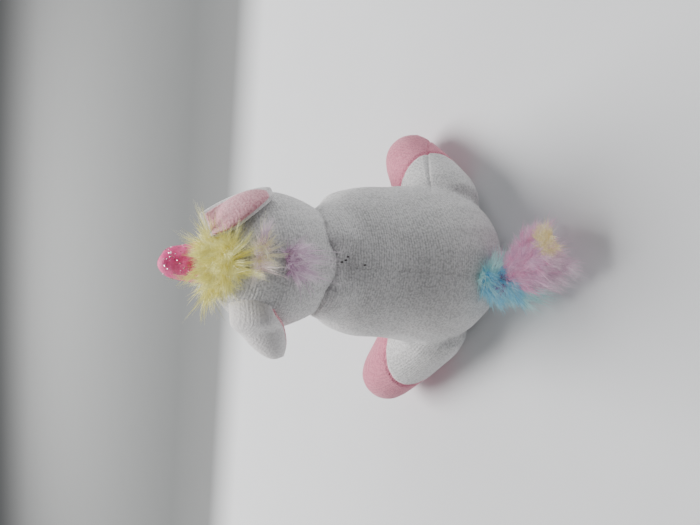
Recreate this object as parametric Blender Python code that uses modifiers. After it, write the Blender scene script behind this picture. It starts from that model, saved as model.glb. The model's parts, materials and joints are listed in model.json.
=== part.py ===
"""Plush unicorn sitting on the floor: sewn covers, stuffing and fur, in metres, +Z up, facing -Y."""
import math

import bmesh
import bpy
from mathutils import Matrix, Vector

MM = 0.001

# Cloth and seams
CLOTH = 1.2 * MM
SEAM_GAP = 0.3 * MM
SWING_GAP = 0.6 * MM
FILLING_GAP = 1.7 * MM
SWEEP_GAP = 1.2 * MM
EAR_ROOM = 2.5 * MM
EAR_CLOTH = 1.0 * MM

# Torso: a pear of blended lobes, each (centre, radii)
SEAT_LOBE = (Vector((0, 4 * MM, 32 * MM)), Vector((41 * MM, 41 * MM, 40 * MM)))
CHEST_LOBE = (Vector((0, -3 * MM, 65 * MM)), Vector((36.5 * MM, 31 * MM, 36 * MM)))
TORSO_MIDDLE = Vector((0, 0, 48 * MM))
TORSO_SHARPNESS = 8
SEAT_SEAM_Z = 5 * MM
SIDE_SEAM_Y = 3 * MM
NECK_SEAM_Z = 102 * MM
NECK_SEAM = (Vector((0, 18 * MM, NECK_SEAM_Z)), Vector((0, -0.3, 1)).normalized())
PELLET_BAG = (Vector((0, 4 * MM, 6.8 * MM)), Vector((12 * MM, 20 * MM, 5.2 * MM)))

# Neck and head
NECK_PIVOT = Vector((0, -8 * MM, 106 * MM))
NECK_RADIUS = 27 * MM
NECK_PLUG_RADIUS = 12 * MM
NECK_STEM_RADIUS = 9 * MM
NECK_STEM_DEPTH = 34 * MM
NECK_OPENING_Z = 90 * MM
HEAD_NOD = (-10, 0, 10)
HEAD_TURN = (-25, 0, 25)
SKULL_MIDDLE = Vector((0, -8 * MM, 115 * MM))
SKULL_RADII = Vector((30.5 * MM, 29 * MM, 26 * MM))
MUZZLE_MIDDLE = Vector((0, -35 * MM, 108 * MM))
MUZZLE_RADII = Vector((16 * MM, 14 * MM, 13.5 * MM))
FACE_SEAM_Y = -26 * MM
MUZZLE_SEAM_Y = -38 * MM
GUSSET_HALF_WIDTH = 10 * MM

# Legs, arms and tail: pivot, far end and the radii there
LEG_PIVOT = {"left": Vector((35, 3, 23)) * MM, "right": Vector((-32.5, 2, 22.5)) * MM}
LEG_RADIUS = 21.5 * MM
LEG_HOOF = {"left": Vector((67.5, -27, 20.5)) * MM, "right": Vector((-53, -26, 17)) * MM}
LEG_HOOF_RADIUS = 15.5 * MM
LEG_HOOF_SEAM = {
    "left": (Vector((58.8, -7.4, 35.1)) * MM, Vector((-0.1, -0.93, -0.35)).normalized()),
    "right": (Vector((-50.4, -6.0, 32.2)) * MM, Vector((-0.05, -0.93, -0.36)).normalized()),
}
LEG_LIFT = (-8, 25)
ARM_PIVOT = Vector((22 * MM, -28 * MM, 64 * MM))
ARM_RADIUS = 11.5 * MM
ARM_HOOF = Vector((25 * MM, -55 * MM, 34 * MM))
ARM_HOOF_RADIUS = 11.5 * MM
ARM_HOOF_SEAM = 0.8
ARM_SWING = (-10, 30)
ROOT_OPENING = 0.55
TAIL_ROOT = Vector((0, 42 * MM, 25 * MM))
TAIL_ROOT_RADIUS = 5 * MM
TAIL_BEND = Vector((1 * MM, 57 * MM, 13.5 * MM))
TAIL_BEND_RADIUS = 11.5 * MM
TAIL_END = Vector((-13 * MM, 67 * MM, 12.5 * MM))
TAIL_TIP = Vector((-19 * MM, 68 * MM, 16 * MM))
TAIL_TIP_RADIUS = 8 * MM
TAIL_SWAY = (-20, 20)
TAIL_LIFT = (0, 30)
TAIL_CORE_RADIUS = 2.5 * MM

# Horn: a soft cone with a round tip, leaning forward
HORN_BASE = Vector((3 * MM, -23 * MM, 130 * MM))
HORN_DIRECTION = Vector((0.06, -0.45, 0.88))
HORN_RADIUS = 11.5 * MM
HORN_TIP_RADIUS = 6.5 * MM
HORN_LENGTH = 20.5 * MM
HORN_FLEX = (-8, 8)

# Ears: root, direction of the length, and the side the lining faces
EAR_LENGTH = 28 * MM
EAR_HALF_WIDTH = 10.3 * MM
EAR_CUP = 3.5 * MM
EAR_CURL = 4 * MM
EAR_PLACES = {
    "left": (Vector((19, 1, 130.5)) * MM, Vector((0.88, 0.12, -0.46)), Vector((-0.1, -0.8, -0.6))),
    "right": (Vector((-16, -7, 139.5)) * MM, Vector((-0.48, 0.38, -0.78)), Vector((-0.78, 0.3, 0.55))),
}

# Mane, eyes and stitches
MANE_CLOTH = 1.0 * MM
MANE_HALF_WIDTH = 7 * MM
CROWN_FUR = (Vector((1 * MM, 1 * MM, 138 * MM)), Vector((10.5 * MM, 17 * MM, 10 * MM)))
NAPE_FUR = (Vector((0, 19 * MM, 121 * MM)), Vector((9 * MM, 7 * MM, 11 * MM)))
EYE_RADIUS = 4.5 * MM
EYE_SHANK_RADIUS = 1.5 * MM
EYE_SHANK_LENGTH = 7 * MM
WASHER_RADIUS = 5 * MM
WASHER_THICKNESS = 1.2 * MM
THREAD_RADIUS = 0.45 * MM

WHITE = (0.86, 0.85, 0.85)
PINK = (0.90, 0.58, 0.66)
HOT_PINK = (0.88, 0.25, 0.50)
FILLING = (0.93, 0.93, 0.90)
SIDES = {"left": 1, "right": -1}


def clear_scene():
    for old in list(bpy.data.objects):
        bpy.data.objects.remove(old, do_unlink=True)


def new_collection(name):
    collection = bpy.data.collections.new(name)
    bpy.context.scene.collection.children.link(collection)
    return collection


def add_empty(name, matrix, parent=None):
    """An empty on a joint: its Z runs along the piece that turns there."""
    empty = bpy.data.objects.new(name, None)
    empty.empty_display_size = 0.01
    PARTS.objects.link(empty)
    empty.parent = parent
    empty.matrix_basis = matrix
    return empty


def add_object(name, form, parent, collection):
    mesh = bpy.data.meshes.new(name)
    bmesh.ops.recalc_face_normals(form, faces=form.faces)
    form.to_mesh(mesh)
    form.free()
    mesh.shade_smooth()
    mesh.set_sharp_from_angle(angle=math.radians(50))
    piece = bpy.data.objects.new(name, mesh)
    collection.objects.link(piece)
    piece.parent = parent
    return piece


def paint(piece, colour, roughness):
    material = bpy.data.materials.new(piece.name)
    material.use_nodes = True
    shader = material.node_tree.nodes["Principled BSDF"]
    shader.inputs["Base Color"].default_value = (*colour, 1)
    shader.inputs["Roughness"].default_value = roughness
    shader.inputs["Metallic"].default_value = 0
    piece.data.materials.append(material)


def add_part(name, form, colour, parent=None, roughness=0.95):
    piece = add_object(name, form, parent, PARTS)
    paint(piece, colour, roughness)
    return piece


def add_cutter(name, form, parent=None):
    piece = add_object(name, form, parent, CUTTERS)
    piece.hide_render = True
    piece.display_type = "WIRE"
    return piece


def thicken(piece, thickness=CLOTH):
    """Gives an open patch of cloth its thickness, inwards from the outer face."""
    cloth = piece.modifiers.new("cloth", "SOLIDIFY")
    cloth.thickness = thickness
    cloth.offset = -1
    cloth.use_even_offset = True


def cut(piece, *cutters):
    for cutter in cutters:
        boolean = piece.modifiers.new(cutter.name, "BOOLEAN")
        boolean.operation = "DIFFERENCE"
        boolean.object = cutter


def trim(form, *planes):
    """Keeps what lies behind each (point, normal) plane and closes the flat cut."""
    for point, normal in planes:
        everything = form.verts[:] + form.edges[:] + form.faces[:]
        result = bmesh.ops.bisect_plane(
            form, geom=everything, plane_co=point, plane_no=normal, clear_outer=True
        )
        rim = [item for item in result["geom_cut"] if isinstance(item, bmesh.types.BMEdge)]
        bmesh.ops.triangle_fill(form, edges=rim, use_beauty=True, normal=normal)
    return form


def join_forms(form, other):
    """Adds another shape to the first and frees it."""
    mesh = bpy.data.meshes.new("joined")
    other.to_mesh(mesh)
    other.free()
    form.from_mesh(mesh)
    bpy.data.meshes.remove(mesh)
    return form


def cloth_cover(make_form, planes, thickness=CLOTH):
    """A cloth cover: the layer between a shape and its inset copy, cut to the planes."""
    return trim(join_forms(make_form(0.0), make_form(thickness)), *planes)


def half_space(axis, value, side):
    """The plane that keeps coordinate `axis` above (side 1) or below (side -1) the value."""
    point = Vector((0, 0, 0))
    normal = Vector((0, 0, 0))
    point[axis] = value
    normal[axis] = -side
    return point, normal


def joint_frame(origin, along, upward):
    """A frame at a joint: Z along the piece, Y as near to `upward` as it can be."""
    z_axis = along.normalized()
    x_axis = upward.cross(z_axis).normalized()
    y_axis = z_axis.cross(x_axis)
    frame = Matrix((x_axis, y_axis, z_axis)).transposed().to_4x4()
    frame.translation = origin
    return frame


def lobe_distance(origin, direction, centre, radii):
    """How far a ray from origin runs before it leaves an ellipsoid, or 0 if it misses."""
    ray = Vector(direction[i] / radii[i] for i in range(3))
    start = Vector((origin[i] - centre[i]) / radii[i] for i in range(3))
    middle = ray.dot(start)
    reach = middle * middle - ray.dot(ray) * (start.dot(start) - 1)
    if reach < 0:
        return 0.0
    return max(0.0, (math.sqrt(reach) - middle) / ray.dot(ray))


def lobed_point(origin, direction, lobes, inset=0.0, sharpness=16):
    """The point on the blended skin of the lobes in one direction from the origin."""
    shrink = Vector((inset, inset, inset))
    total = sum(lobe_distance(origin, direction, c, r - shrink) ** sharpness for c, r in lobes)
    return origin + direction * total ** (1 / sharpness)


def lobed_form(origin, lobes, inset=0.0, floor=None, sharpness=16, segments=24, rings=16):
    """A round stuffed shape; below `floor` it is pressed flat."""
    form = bmesh.new()
    bmesh.ops.create_uvsphere(form, u_segments=segments, v_segments=rings, radius=1)
    for vert in form.verts:
        vert.co = lobed_point(origin, vert.co.normalized(), lobes, inset, sharpness)
        if floor is not None:
            vert.co.z = max(vert.co.z, floor)
    return form


def limb_form(length, start_radius, end_radius, inset=0.0, segments=16, rings=12):
    """A tapered capsule along +Z from a ball at the origin to a ball at `length`."""
    form = bmesh.new()
    bmesh.ops.create_uvsphere(form, u_segments=segments, v_segments=rings, radius=1)
    for vert in form.verts:
        share = min(1.0, max(0.0, vert.co.z * 1.6 + 0.5))
        radius = start_radius + (end_radius - start_radius) * share - inset
        vert.co = vert.co * radius
        vert.co.z += length * share
    return form


def ball(centre, radius, segments=20, rings=14):
    form = bmesh.new()
    place = Matrix.Translation(centre)
    bmesh.ops.create_uvsphere(form, u_segments=segments, v_segments=rings, radius=radius, matrix=place)
    return form


def pad(centre, radii, segments=20, rings=12):
    form = bmesh.new()
    bmesh.ops.create_uvsphere(form, u_segments=segments, v_segments=rings, radius=1)
    for vert in form.verts:
        vert.co = centre + Vector(vert.co[axis] * radii[axis] for axis in range(3))
    return form


def rod(radius, low, high, segments=16):
    """A cylinder along Z between two heights."""
    form = bmesh.new()
    place = Matrix.Translation((0, 0, (low + high) / 2))
    bmesh.ops.create_cone(
        form, cap_ends=True, segments=segments, radius1=radius, radius2=radius, depth=high - low, matrix=place
    )
    return form


def hull_of(form):
    """Replaces the points of a shape by their convex hull."""
    hull = bmesh.ops.convex_hull(form, input=form.verts)
    inner = {item for item in hull["geom_interior"] if isinstance(item, bmesh.types.BMVert)}
    bmesh.ops.delete(form, geom=list(inner), context="VERTS")
    kept = set(hull["geom"])
    loose = [face for face in form.faces if face not in kept]
    bmesh.ops.delete(form, geom=loose, context="FACES_ONLY")
    return form


def head_swing_envelope():
    """The space that the head sweeps in the collar as it nods and turns about the neck."""
    sweep = bmesh.new()
    for turn in HEAD_TURN:
        for nod in HEAD_NOD:
            moved = lobed_form(SKULL_MIDDLE, head_lobes(), -SWEEP_GAP)
            moved.transform(Matrix.Translation(-NECK_PIVOT))
            moved.transform(Matrix.Rotation(math.radians(nod), 4, "X"))
            moved.transform(Matrix.Rotation(math.radians(turn), 4, "Z"))
            join_forms(sweep, moved)
    return hull_of(sweep)


def swing_envelope(length, start_radius, end_radius, axis, angles):
    """The space that a limb sweeps as it turns about an axis through its own origin."""
    sweep = bmesh.new()
    steps = 2
    for step in range(steps + 1):
        angle = angles[0] + (angles[1] - angles[0]) * step / steps
        turned = limb_form(length, start_radius + SWEEP_GAP, end_radius + SWEEP_GAP, segments=12, rings=8)
        turned.transform(Matrix.Rotation(math.radians(angle), 4, axis))
        join_forms(sweep, turned)
    return hull_of(sweep)


def turned_part(name, profile, colour, parent, roughness):
    """A round piece from an outline of (radius, height) points, listed top to bottom."""
    form = bmesh.new()
    verts = [form.verts.new((radius, 0, height)) for radius, height in profile]
    for start, end in zip(verts, verts[1:]):
        form.edges.new((start, end))
    if profile[0][0] > 0:
        form.edges.new((verts[-1], verts[0]))
    piece = add_part(name, form, colour, parent, roughness)
    screw = piece.modifiers.new("turned", "SCREW")
    screw.steps = 16
    screw.render_steps = 16
    screw.use_merge_vertices = True
    screw.merge_threshold = 0.00001
    return piece


def add_stitches(name, points, colour, parent=None):
    """A thread laid through the points."""
    curve = bpy.data.curves.new(name, "CURVE")
    curve.dimensions = "3D"
    curve.bevel_depth = THREAD_RADIUS
    curve.bevel_resolution = 1
    curve.use_fill_caps = True
    spline = curve.splines.new("POLY")
    spline.points.add(len(points) - 1)
    for place, point in zip(spline.points, points):
        place.co = (*point, 1)
    thread = bpy.data.objects.new(name, curve)
    PARTS.objects.link(thread)
    thread.parent = parent
    paint(thread, colour, 0.7)
    return thread


def torso_lobes():
    collar_radius = NECK_RADIUS + CLOTH + 2 * SWING_GAP
    collar = (NECK_PIVOT, Vector((collar_radius, collar_radius, collar_radius)))
    return [SEAT_LOBE, CHEST_LOBE, collar]


def head_lobes():
    neck = (NECK_PIVOT, Vector((NECK_RADIUS, NECK_RADIUS, NECK_RADIUS)))
    return [(SKULL_MIDDLE, SKULL_RADII), (MUZZLE_MIDDLE, MUZZLE_RADII), neck]


def make_torso(root, hip_clearances, arm_clearances, tail_clearance, head_clearance):
    half_gap = SEAM_GAP / 2
    above_seat = half_space(2, SEAT_SEAM_Z + half_gap, 1)

    def shape(inset):
        return lobed_form(TORSO_MIDDLE, torso_lobes(), inset, inset, TORSO_SHARPNESS)

    form = cloth_cover(shape, [half_space(2, SEAT_SEAM_Z - half_gap, -1)])
    seat = add_part("seat_panel", form, WHITE, root)
    cut(seat, *hip_clearances.values())

    in_front = half_space(1, SIDE_SEAM_Y - half_gap, -1)
    belly = add_part("belly_panel", cloth_cover(shape, [above_seat, NECK_SEAM, in_front]), WHITE, root)
    cut(belly, head_clearance, *hip_clearances.values(), *arm_clearances.values())

    behind = half_space(1, SIDE_SEAM_Y + half_gap, 1)
    for side, sign in SIDES.items():
        own_half = half_space(0, sign * half_gap, sign)
        form = cloth_cover(shape, [above_seat, NECK_SEAM, behind, own_half])
        back = add_part(f"back_panel_{side}", form, WHITE, root)
        cut(back, head_clearance, hip_clearances[side], tail_clearance)

    inset = CLOTH + FILLING_GAP
    form = lobed_form(TORSO_MIDDLE, torso_lobes(), inset, inset, TORSO_SHARPNESS)
    stuffing = add_part("torso_stuffing", form, FILLING, root)
    grown = [radius + SWING_GAP for radius in PELLET_BAG[1]]
    pocket = add_cutter("pellet_bag_pocket", pad(PELLET_BAG[0], grown, 16, 10), root)
    stem_hole = rod(NECK_STEM_RADIUS + SEAM_GAP, -NECK_STEM_DEPTH - 1 * MM, 0)
    stem_hole.transform(Matrix.Translation(NECK_PIVOT))
    stem_hole = add_cutter("neck_stem_hole", stem_hole, root)
    cut(stuffing, head_clearance, stem_hole, pocket, tail_clearance)
    cut(stuffing, *hip_clearances.values(), *arm_clearances.values())
    add_part("seat_pellet_bag", pad(*PELLET_BAG, 16, 10), (0.75, 0.75, 0.78), root)


def make_closing_thread(root):
    """The zigzag that closed the back seam after stuffing, just below the neck."""
    points = []
    for step in range(9):
        height = NECK_SEAM_Z - (4 + 2.2 * step) * MM
        sideways = 1.6 * MM * (1 if step % 2 else -1)
        ray = (Vector((sideways, 30 * MM, height)) - TORSO_MIDDLE).normalized()
        surface = lobed_point(TORSO_MIDDLE, ray, torso_lobes(), 0.0, TORSO_SHARPNESS)
        points.append(surface + ray * (THREAD_RADIUS + SEAM_GAP * 2))
    add_stitches("back_closing_thread", points, (0.55, 0.53, 0.53), root)


def make_neck(pivot):
    """The column of stuffing between torso and head: a ball with a stem below it."""
    arc = [math.radians(90 - 15 * step) for step in range(0, 10)]
    profile = [(NECK_PLUG_RADIUS * math.cos(a), NECK_PLUG_RADIUS * math.sin(a)) for a in arc]
    profile = [(0.0, NECK_PLUG_RADIUS)] + profile[1:]
    profile += [(NECK_STEM_RADIUS, -NECK_STEM_DEPTH + 1 * MM), (0.0, -NECK_STEM_DEPTH + 1 * MM)]
    turned_part("neck_stuffing", profile, FILLING, pivot, 0.95)


def make_head(pivot, horn_clearance):
    """Two side covers, a face strip and a muzzle cover over the stuffing."""
    to_pivot = Matrix.Translation(-NECK_PIVOT)
    half_gap = SEAM_GAP / 2
    above_neck = half_space(2, NECK_OPENING_Z, 1)
    behind_muzzle = half_space(1, MUZZLE_SEAM_Y + half_gap, 1)

    def shape(inset):
        return lobed_form(SKULL_MIDDLE, head_lobes(), inset)

    def add_cover(name, *planes):
        form = cloth_cover(shape, planes)
        form.transform(to_pivot)
        return add_part(name, form, WHITE, pivot)

    add_cover("muzzle_cover", half_space(1, MUZZLE_SEAM_Y - half_gap, -1))

    strip = GUSSET_HALF_WIDTH - half_gap
    face_planes = (half_space(0, strip, -1), half_space(0, -strip, 1), half_space(1, FACE_SEAM_Y, -1))
    upper = half_space(2, MUZZLE_MIDDLE.z + half_gap, 1)
    lower = half_space(2, MUZZLE_MIDDLE.z - half_gap, -1)
    forehead = add_cover("forehead_panel", behind_muzzle, upper, *face_planes)
    cut(forehead, horn_clearance)
    add_cover("chin_panel", behind_muzzle, lower, above_neck, *face_planes)

    sides = {}
    for side, sign in SIDES.items():
        own_half = half_space(0, sign * half_gap, sign)
        cover = add_cover(f"head_panel_{side}", own_half, above_neck, behind_muzzle)
        cut(cover, FACE_WINDOW)
        sides[side] = cover

    inset = CLOTH + FILLING_GAP
    form = lobed_form(SKULL_MIDDLE, head_lobes(), inset)
    form = trim(form, half_space(2, NECK_PIVOT.z, 1))
    form.transform(to_pivot)
    stuffing = add_part("head_stuffing", form, FILLING, pivot)
    socket = add_cutter("neck_socket", ball(Vector((0, 0, 0)), NECK_PLUG_RADIUS + SWING_GAP), pivot)
    cut(stuffing, socket, horn_clearance)
    return sides, stuffing


def make_face_window(pivot):
    """Cutter between the side covers where the forehead and chin strips lie."""
    form = bmesh.new()
    low_y = -80 * MM
    high_y = FACE_SEAM_Y + SEAM_GAP
    size = Vector((2 * GUSSET_HALF_WIDTH + SEAM_GAP, high_y - low_y, 120 * MM))
    place = Matrix.Translation(Vector((0, (low_y + high_y) / 2, NECK_PIVOT.z)) - NECK_PIVOT)
    bmesh.ops.create_cube(form, size=1, matrix=place @ Matrix.Diagonal(size).to_4x4())
    return add_cutter("face_window", form, pivot)


def head_surface(direction, lift=0.0):
    """A point above the head's cover in one direction from the skull's middle."""
    ray = Vector(direction).normalized()
    return lobed_point(SKULL_MIDDLE, ray, head_lobes()) + ray * lift - NECK_PIVOT


def make_eye(side, sign, pivot, cover, stuffing):
    """A domed eye on a shank, held by a washer behind the cover."""
    ray = Vector((sign * 0.62, -0.78, 0.05)).normalized()
    place = joint_frame(head_surface(ray), ray, Vector((0, 0, 1)))
    socket = add_empty(f"eye_{side}_axis", place, pivot)
    lift = SEAM_GAP + 0.5 * MM
    arc = [math.radians(90 - 15 * step) for step in range(1, 7)]
    dome = [(EYE_RADIUS * math.cos(a), lift + 0.62 * EYE_RADIUS * math.sin(a)) for a in arc]
    profile = [(0.0, lift + 0.62 * EYE_RADIUS)] + dome
    profile += [(EYE_SHANK_RADIUS, lift), (EYE_SHANK_RADIUS, -EYE_SHANK_LENGTH), (0.0, -EYE_SHANK_LENGTH)]
    turned_part(f"eye_{side}", profile, (0.02, 0.02, 0.02), socket, 0.1)

    top = -CLOTH - 1.2 * MM
    low = top - WASHER_THICKNESS
    inner = EYE_SHANK_RADIUS + SEAM_GAP
    ring = [(inner, top), (WASHER_RADIUS, top), (WASHER_RADIUS, low), (inner, low)]
    turned_part(f"eye_washer_{side}", ring, (0.8, 0.8, 0.8), socket, 0.4)

    hole = add_cutter(f"eye_hole_{side}", rod(inner, -6 * MM, 4 * MM, 12), socket)
    cut(cover, hole)
    pocket = rod(WASHER_RADIUS + SEAM_GAP, -EYE_SHANK_LENGTH - SEAM_GAP, 4 * MM)
    cut(stuffing, add_cutter(f"washer_pocket_{side}", pocket, socket))


def make_face_stitches(pivot):
    """Embroidered nostrils and smile on the muzzle."""
    lift = THREAD_RADIUS + SEAM_GAP
    for side, sign in SIDES.items():
        spots = [(sign * (0.17 + 0.03 * math.sin(0.8 * step)), -1, -0.16 - 0.025 * step) for step in range(4)]
        points = [head_surface(spot, lift) for spot in spots]
        add_stitches(f"nostril_{side}", points, (0.75, 0.40, 0.50), pivot)
    smile = []
    for step in range(9):
        across = (step - 4) / 4
        smile.append(head_surface((0.26 * across, -1, -0.48 + 0.09 * across * across), lift))
    add_stitches("mouth", smile, (0.75, 0.40, 0.50), pivot)


def head_envelope(lift):
    """The head's shape grown by `lift`, in the neck pivot's frame."""
    form = lobed_form(SKULL_MIDDLE, head_lobes(), -lift)
    form.transform(Matrix.Translation(-NECK_PIVOT))
    return form


def make_mane(pivot, horn_clearance):
    """A strip of fur cloth over the head, with a tuft on the crown and one on the nape."""
    to_pivot = Matrix.Translation(-NECK_PIVOT)
    lift = MANE_CLOTH + SEAM_GAP

    def shape(inset):
        return lobed_form(SKULL_MIDDLE, head_lobes(), inset - lift)

    strip = [half_space(0, MANE_HALF_WIDTH, -1), half_space(0, -MANE_HALF_WIDTH, 1)]
    front = half_space(1, HORN_BASE.y + HORN_RADIUS + 3 * MM, 1)
    bottom = half_space(2, NAPE_FUR[0].z - NAPE_FUR[1].z + 2 * MM, 1)
    form = cloth_cover(shape, [*strip, bottom, front], MANE_CLOTH)
    form.transform(to_pivot)
    add_part("mane_backing", form, (0.85, 0.80, 0.75), pivot)

    head_room = add_cutter("mane_bed", head_envelope(lift + SEAM_GAP), pivot)
    colours = {"mane_crown_fur": (0.90, 0.86, 0.45), "mane_nape_fur": (0.78, 0.62, 0.80)}
    for (name, colour), (centre, radii) in zip(colours.items(), (CROWN_FUR, NAPE_FUR)):
        tuft = add_part(name, pad(centre - NECK_PIVOT, radii), colour, pivot)
        cut(tuft, head_room)
        if name == "mane_crown_fur":
            cut(tuft, horn_clearance)


def make_horn(pivot):
    open_base = half_space(2, -4 * MM, 1)

    def shape(inset):
        return limb_form(HORN_LENGTH, HORN_RADIUS, HORN_TIP_RADIUS, inset)

    add_part("horn_cover", cloth_cover(shape, [open_base], MANE_CLOTH), HOT_PINK, pivot, 0.35)
    filling = trim(shape(MANE_CLOTH + SEAM_GAP), open_base)
    add_part("horn_stuffing", filling, FILLING, pivot)


def ear_sheet(scale, lift):
    """A cupped leaf: the length runs along Z, the lining side faces -Y."""
    form = bmesh.new()
    bmesh.ops.create_grid(form, x_segments=8, y_segments=9, size=1)
    for vert in form.verts:
        across = vert.co.x
        along = (vert.co.y + 1) / 2
        width = EAR_HALF_WIDTH * scale * math.sin(math.pi * (0.2 + 0.79 * along)) ** 0.6
        cup = EAR_CUP * (across * across - 0.4) * min(1, width / EAR_HALF_WIDTH)
        height = EAR_LENGTH * (0.5 + (along - 0.5) * scale)
        vert.co = Vector((across * width, -lift - cup - EAR_CURL * along * along, height))
    return form


def make_ear(side, pivot, head_room):
    back = add_part(f"ear_{side}_back", ear_sheet(1.0, 0.0), WHITE, pivot)
    lining = add_part(f"ear_{side}_lining", ear_sheet(0.86, EAR_CLOTH + 2 * SEAM_GAP), PINK, pivot)
    for sheet in (back, lining):
        thicken(sheet, EAR_CLOTH)
        cut(sheet, head_room)


def make_limb(name, pivot, length, start_radius, end_radius, halves, hoof_seam):
    """Two half covers, a hoof cap and the stuffing of a leg or an arm, in the pivot's frame."""
    half_gap = SEAM_GAP / 2
    open_root = half_space(2, -start_radius * ROOT_OPENING, 1)
    seam_point, to_hoof = hoof_seam
    short_of_hoof = (seam_point - to_hoof * half_gap, to_hoof)
    beyond_seam = (seam_point + to_hoof * half_gap, -to_hoof)

    def shape(inset):
        return limb_form(length, start_radius, end_radius, inset)

    for label, facing in halves.items():
        own_half = (facing * half_gap, -facing)
        form = cloth_cover(shape, [open_root, short_of_hoof, own_half])
        add_part(f"{name}_cover_{label}", form, WHITE, pivot)
    form = cloth_cover(shape, [open_root, beyond_seam])
    add_part(f"{name}_hoof", form, PINK, pivot)
    filling = shape(CLOTH + SEAM_GAP)
    add_part(f"{name}_stuffing", filling, FILLING, pivot)


def make_tail_piece(name, pivot, length, radii, colour, core, bend=None):
    """A fur piece with a bore for the cloth core that it is sewn around."""
    fur = add_part(name, limb_form(length, *radii), colour, pivot)
    bore = rod(TAIL_CORE_RADIUS + SEAM_GAP, core[0] - SEAM_GAP, core[1] + SEAM_GAP)
    cut(fur, add_cutter(f"{name}_bore", bore, pivot))
    if bend:
        cut(fur, bend)


def make_tail(root, root_pivot, bend_pivot, bend_clearance):
    base_length = (TAIL_BEND - TAIL_ROOT).length
    end_length = (TAIL_END - TAIL_BEND).length
    reach = base_length - TAIL_BEND_RADIUS - 1.5 * MM
    core = (-TAIL_ROOT_RADIUS - 4 * MM, reach)
    radii = (TAIL_ROOT_RADIUS, TAIL_BEND_RADIUS - 0.5 * MM)
    make_tail_piece("tail_fur_blue", root_pivot, base_length, radii, (0.45, 0.75, 0.88), core, bend_clearance)
    add_part("tail_core_root", rod(TAIL_CORE_RADIUS, -TAIL_ROOT_RADIUS + 1.5 * MM, reach), WHITE, root_pivot)

    core = (-TAIL_BEND_RADIUS - 4 * MM, end_length - 2 * MM)
    radii = (TAIL_BEND_RADIUS, TAIL_BEND_RADIUS - 0.5 * MM)
    make_tail_piece("tail_fur_pink", bend_pivot, end_length, radii, (0.83, 0.60, 0.76), core)
    core_form = rod(TAIL_CORE_RADIUS, -TAIL_BEND_RADIUS + 1 * MM, end_length - 2 * MM)
    add_part("tail_core_end", core_form, WHITE, bend_pivot)

    tip_frame = joint_frame(TAIL_END, TAIL_TIP - TAIL_END, Vector((0, 0, 1)))
    local = (joint_frame(TAIL_BEND, TAIL_END - TAIL_BEND, Vector((0, 0, 1)))).inverted() @ tip_frame
    tip_length = (TAIL_TIP - TAIL_END).length
    tip = limb_form(tip_length, TAIL_TIP_RADIUS, TAIL_TIP_RADIUS - 1 * MM)
    tip.transform(local)
    tip = add_part("tail_fur_yellow", tip, (0.92, 0.88, 0.70), bend_pivot)
    bed = limb_form(end_length, TAIL_BEND_RADIUS + SEAM_GAP, TAIL_BEND_RADIUS - 0.5 * MM + SEAM_GAP)
    cut(tip, add_cutter("tail_tip_bed", bed, bend_pivot))


def stand_on_origin(root):
    """Moves the whole toy so that its box is centred over the origin with its seat at z = 0."""
    bpy.context.view_layer.update()
    graph = bpy.context.evaluated_depsgraph_get()
    corners = []
    for piece in PARTS.objects:
        if piece.type in {"MESH", "CURVE"}:
            mesh = piece.evaluated_get(graph).to_mesh()
            corners += [piece.matrix_world @ vert.co for vert in mesh.vertices]
            piece.evaluated_get(graph).to_mesh_clear()
    for axis in (0, 1):
        values = [corner[axis] for corner in corners]
        root.location[axis] = -(min(values) + max(values)) / 2


clear_scene()
PARTS = new_collection("plush_unicorn")
CUTTERS = new_collection("cutters")
UP = Vector((0, 0, 1))

unicorn = add_empty("unicorn", Matrix.Identity(4))
hips = {}
shoulders = {}
hip_rooms = {}
arm_rooms = {}
for side, sign in SIDES.items():
    mirror = Matrix.Diagonal((sign, 1, 1))
    hip = LEG_PIVOT[side]
    leg = LEG_HOOF[side] - hip
    hips[side] = add_empty(f"leg_{side}_pivot", joint_frame(hip, leg, UP), unicorn)
    sweep = swing_envelope(leg.length, LEG_RADIUS, LEG_HOOF_RADIUS, "X", (-LEG_LIFT[1], -LEG_LIFT[0]))
    hip_rooms[side] = add_cutter(f"hip_room_{side}", sweep, hips[side])
    to_hip = joint_frame(hip, leg, UP).inverted()
    seam_point, to_hoof = LEG_HOOF_SEAM[side]
    hoof_seam = (to_hip @ seam_point, to_hip.to_3x3() @ to_hoof)
    halves = {"upper": Vector((0, 1, 0)), "lower": Vector((0, -1, 0))}
    make_limb(f"leg_{side}", hips[side], leg.length, LEG_RADIUS, LEG_HOOF_RADIUS, halves, hoof_seam)

    shoulder = mirror @ ARM_PIVOT
    arm = mirror @ ARM_HOOF - shoulder
    shoulders[side] = add_empty(f"arm_{side}_pivot", joint_frame(shoulder, arm, UP), unicorn)
    sweep = swing_envelope(arm.length, ARM_RADIUS, ARM_HOOF_RADIUS, "X", (-ARM_SWING[1], -ARM_SWING[0]))
    arm_rooms[side] = add_cutter(f"arm_room_{side}", sweep, shoulders[side])
    hoof_seam = (Vector((0, 0, arm.length * ARM_HOOF_SEAM)), UP)
    halves = {"outer": Vector((sign, 0, 0)), "inner": Vector((-sign, 0, 0))}
    make_limb(f"arm_{side}", shoulders[side], arm.length, ARM_RADIUS, ARM_HOOF_RADIUS, halves, hoof_seam)

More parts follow.
